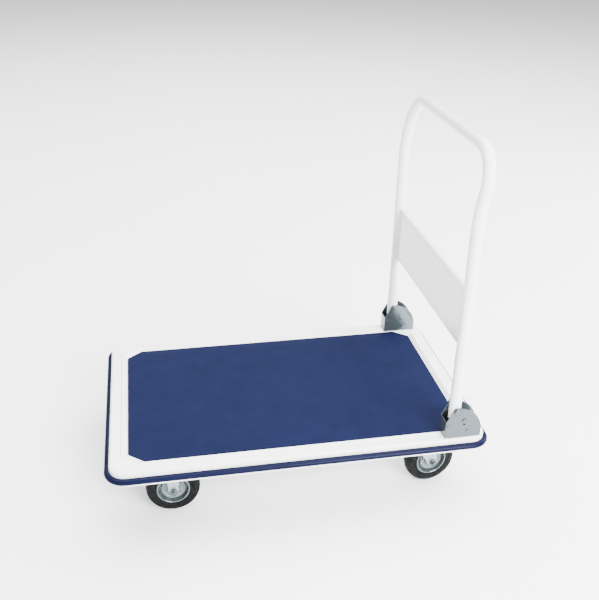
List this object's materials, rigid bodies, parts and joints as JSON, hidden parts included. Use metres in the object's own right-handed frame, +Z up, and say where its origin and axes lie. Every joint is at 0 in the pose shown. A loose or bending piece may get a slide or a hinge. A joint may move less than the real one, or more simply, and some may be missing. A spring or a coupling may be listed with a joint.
{
  "type": "folding platform cart",
  "caption": "Flat steel platform cart with a blue vinyl mat and edge bumper, fixed and swivel casters, and a tube handle that folds down over the deck.",
  "frame": {"origin": "on the floor, under the middle of the deck", "axes": "+X towards the handle end, +Y towards the right hand of someone who pushes the cart from the handle end, facing -X, +Z up"},
  "size_m": [0.91, 0.594, 0.8945],
  "materials": {
    "white_enamel": "gloss white powder coat",
    "mat_vinyl": "fine-grained blue vinyl mat",
    "bumper_vinyl": "smooth navy vinyl edging",
    "zinc_plate": "bright zinc plating",
    "rim_zinc": "pressed zinc-plated steel",
    "tyre_rubber": "black moulded rubber",
    "bearing_steel": "ground steel"
  },
  "bodies": {
    "platform": {"brace_rivets": "zinc_plate", "bracket_bolts": "zinc_plate", "bracket_nuts": "zinc_plate", "bumper_strip": "bumper_vinyl", "caster_bolts": "zinc_plate", "caster_nuts": "zinc_plate", "centre_stiffener": "white_enamel", "deck_mat": "mat_vinyl", "deck_pan": "white_enamel", "front_axle_bolts": "zinc_plate", "front_axle_nuts": "zinc_plate", "front_axle_sleeves": "zinc_plate", "front_cross_member": "white_enamel", "front_left_fork": "zinc_plate", "front_right_fork": "zinc_plate", "kingpin_nuts": "zinc_plate", "left_hinge_bracket": "zinc_plate", "left_lock_spring": "bearing_steel", "pivot_bolts": "zinc_plate", "pivot_nuts": "zinc_plate", "rear_cross_member": "white_enamel", "rear_left_kingpin": "zinc_plate", "rear_left_race_balls": "bearing_steel", "rear_left_top_plate": "zinc_plate", "rear_right_kingpin": "zinc_plate", "rear_right_race_balls": "bearing_steel", "rear_right_top_plate": "zinc_plate", "right_hinge_bracket": "zinc_plate", "right_lock_spring": "bearing_steel", "stop_rivets": "zinc_plate"},
    "handle": {"handle_tube": "white_enamel", "handle_panel": "white_enamel", "pivot_bushes": "zinc_plate"},
    "left_lock": {"left_lock_pin": "zinc_plate"},
    "right_lock": {"right_lock_pin": "zinc_plate"},
    "rear_left_swivel": {"rear_left_fork": "zinc_plate", "rear_left_axle_bolt": "zinc_plate", "rear_left_axle_nut": "zinc_plate", "rear_left_axle_sleeve": "zinc_plate"},
    "rear_right_swivel": {"rear_right_fork": "zinc_plate", "rear_right_axle_bolt": "zinc_plate", "rear_right_axle_nut": "zinc_plate", "rear_right_axle_sleeve": "zinc_plate"},
    "front_left_wheel": {"front_left_tyre": "tyre_rubber", "front_left_outer_rim": "rim_zinc", "front_left_inner_rim": "rim_zinc", "front_left_bearings": "bearing_steel"},
    "front_right_wheel": {"front_right_tyre": "tyre_rubber", "front_right_outer_rim": "rim_zinc", "front_right_inner_rim": "rim_zinc", "front_right_bearings": "bearing_steel"},
    "rear_left_wheel": {"rear_left_tyre": "tyre_rubber", "rear_left_outer_rim": "rim_zinc", "rear_left_inner_rim": "rim_zinc", "rear_left_bearings": "bearing_steel"},
    "rear_right_wheel": {"rear_right_tyre": "tyre_rubber", "rear_right_outer_rim": "rim_zinc", "rear_right_inner_rim": "rim_zinc", "rear_right_bearings": "bearing_steel"}
  },
  "joints": [
    {"name": "handle_fold", "type": "hinge", "parent": "platform", "child": "handle", "pos_m": [0.3613, 0, 0.2685], "axis": [0, -1, 0], "range_deg": [0, 96]},
    {"name": "left_lock_press", "type": "slide", "parent": "platform", "child": "left_lock", "axis": [0, 0, -1], "range_m": [0, 0.007], "stiffness_N_per_m": 400, "springref_m": -0.003, "deforming": ["left_lock_spring"]},
    {"name": "right_lock_press", "type": "slide", "parent": "platform", "child": "right_lock", "axis": [0, 0, -1], "range_m": [0, 0.007], "stiffness_N_per_m": 400, "springref_m": -0.003, "deforming": ["right_lock_spring"]},
    {"name": "rear_left_swivel_turn", "type": "hinge", "parent": "platform", "child": "rear_left_swivel", "pos_m": [0.306, -0.184, 0.1415], "axis": [0, 0, 1], "continuous": true},
    {"name": "rear_left_wheel_spin", "type": "hinge", "parent": "rear_left_swivel", "child": "rear_left_wheel", "pos_m": [0.34169, -0.1793, 0.065], "axis": [0.1305, -0.9914, 0], "continuous": true},
    {"name": "rear_right_swivel_turn", "type": "hinge", "parent": "platform", "child": "rear_right_swivel", "pos_m": [0.306, 0.184, 0.1415], "axis": [0, 0, 1], "continuous": true},
    {"name": "rear_right_wheel_spin", "type": "hinge", "parent": "rear_right_swivel", "child": "rear_right_wheel", "pos_m": [0.34191, 0.18149, 0.065], "axis": [-0.0698, -0.9976, 0], "continuous": true},
    {"name": "front_left_wheel_spin", "type": "hinge", "parent": "platform", "child": "front_left_wheel", "pos_m": [-0.303, -0.184, 0.065], "axis": [0, -1, 0], "continuous": true},
    {"name": "front_right_wheel_spin", "type": "hinge", "parent": "platform", "child": "front_right_wheel", "pos_m": [-0.303, 0.184, 0.065], "axis": [0, -1, 0], "continuous": true}
  ]
}
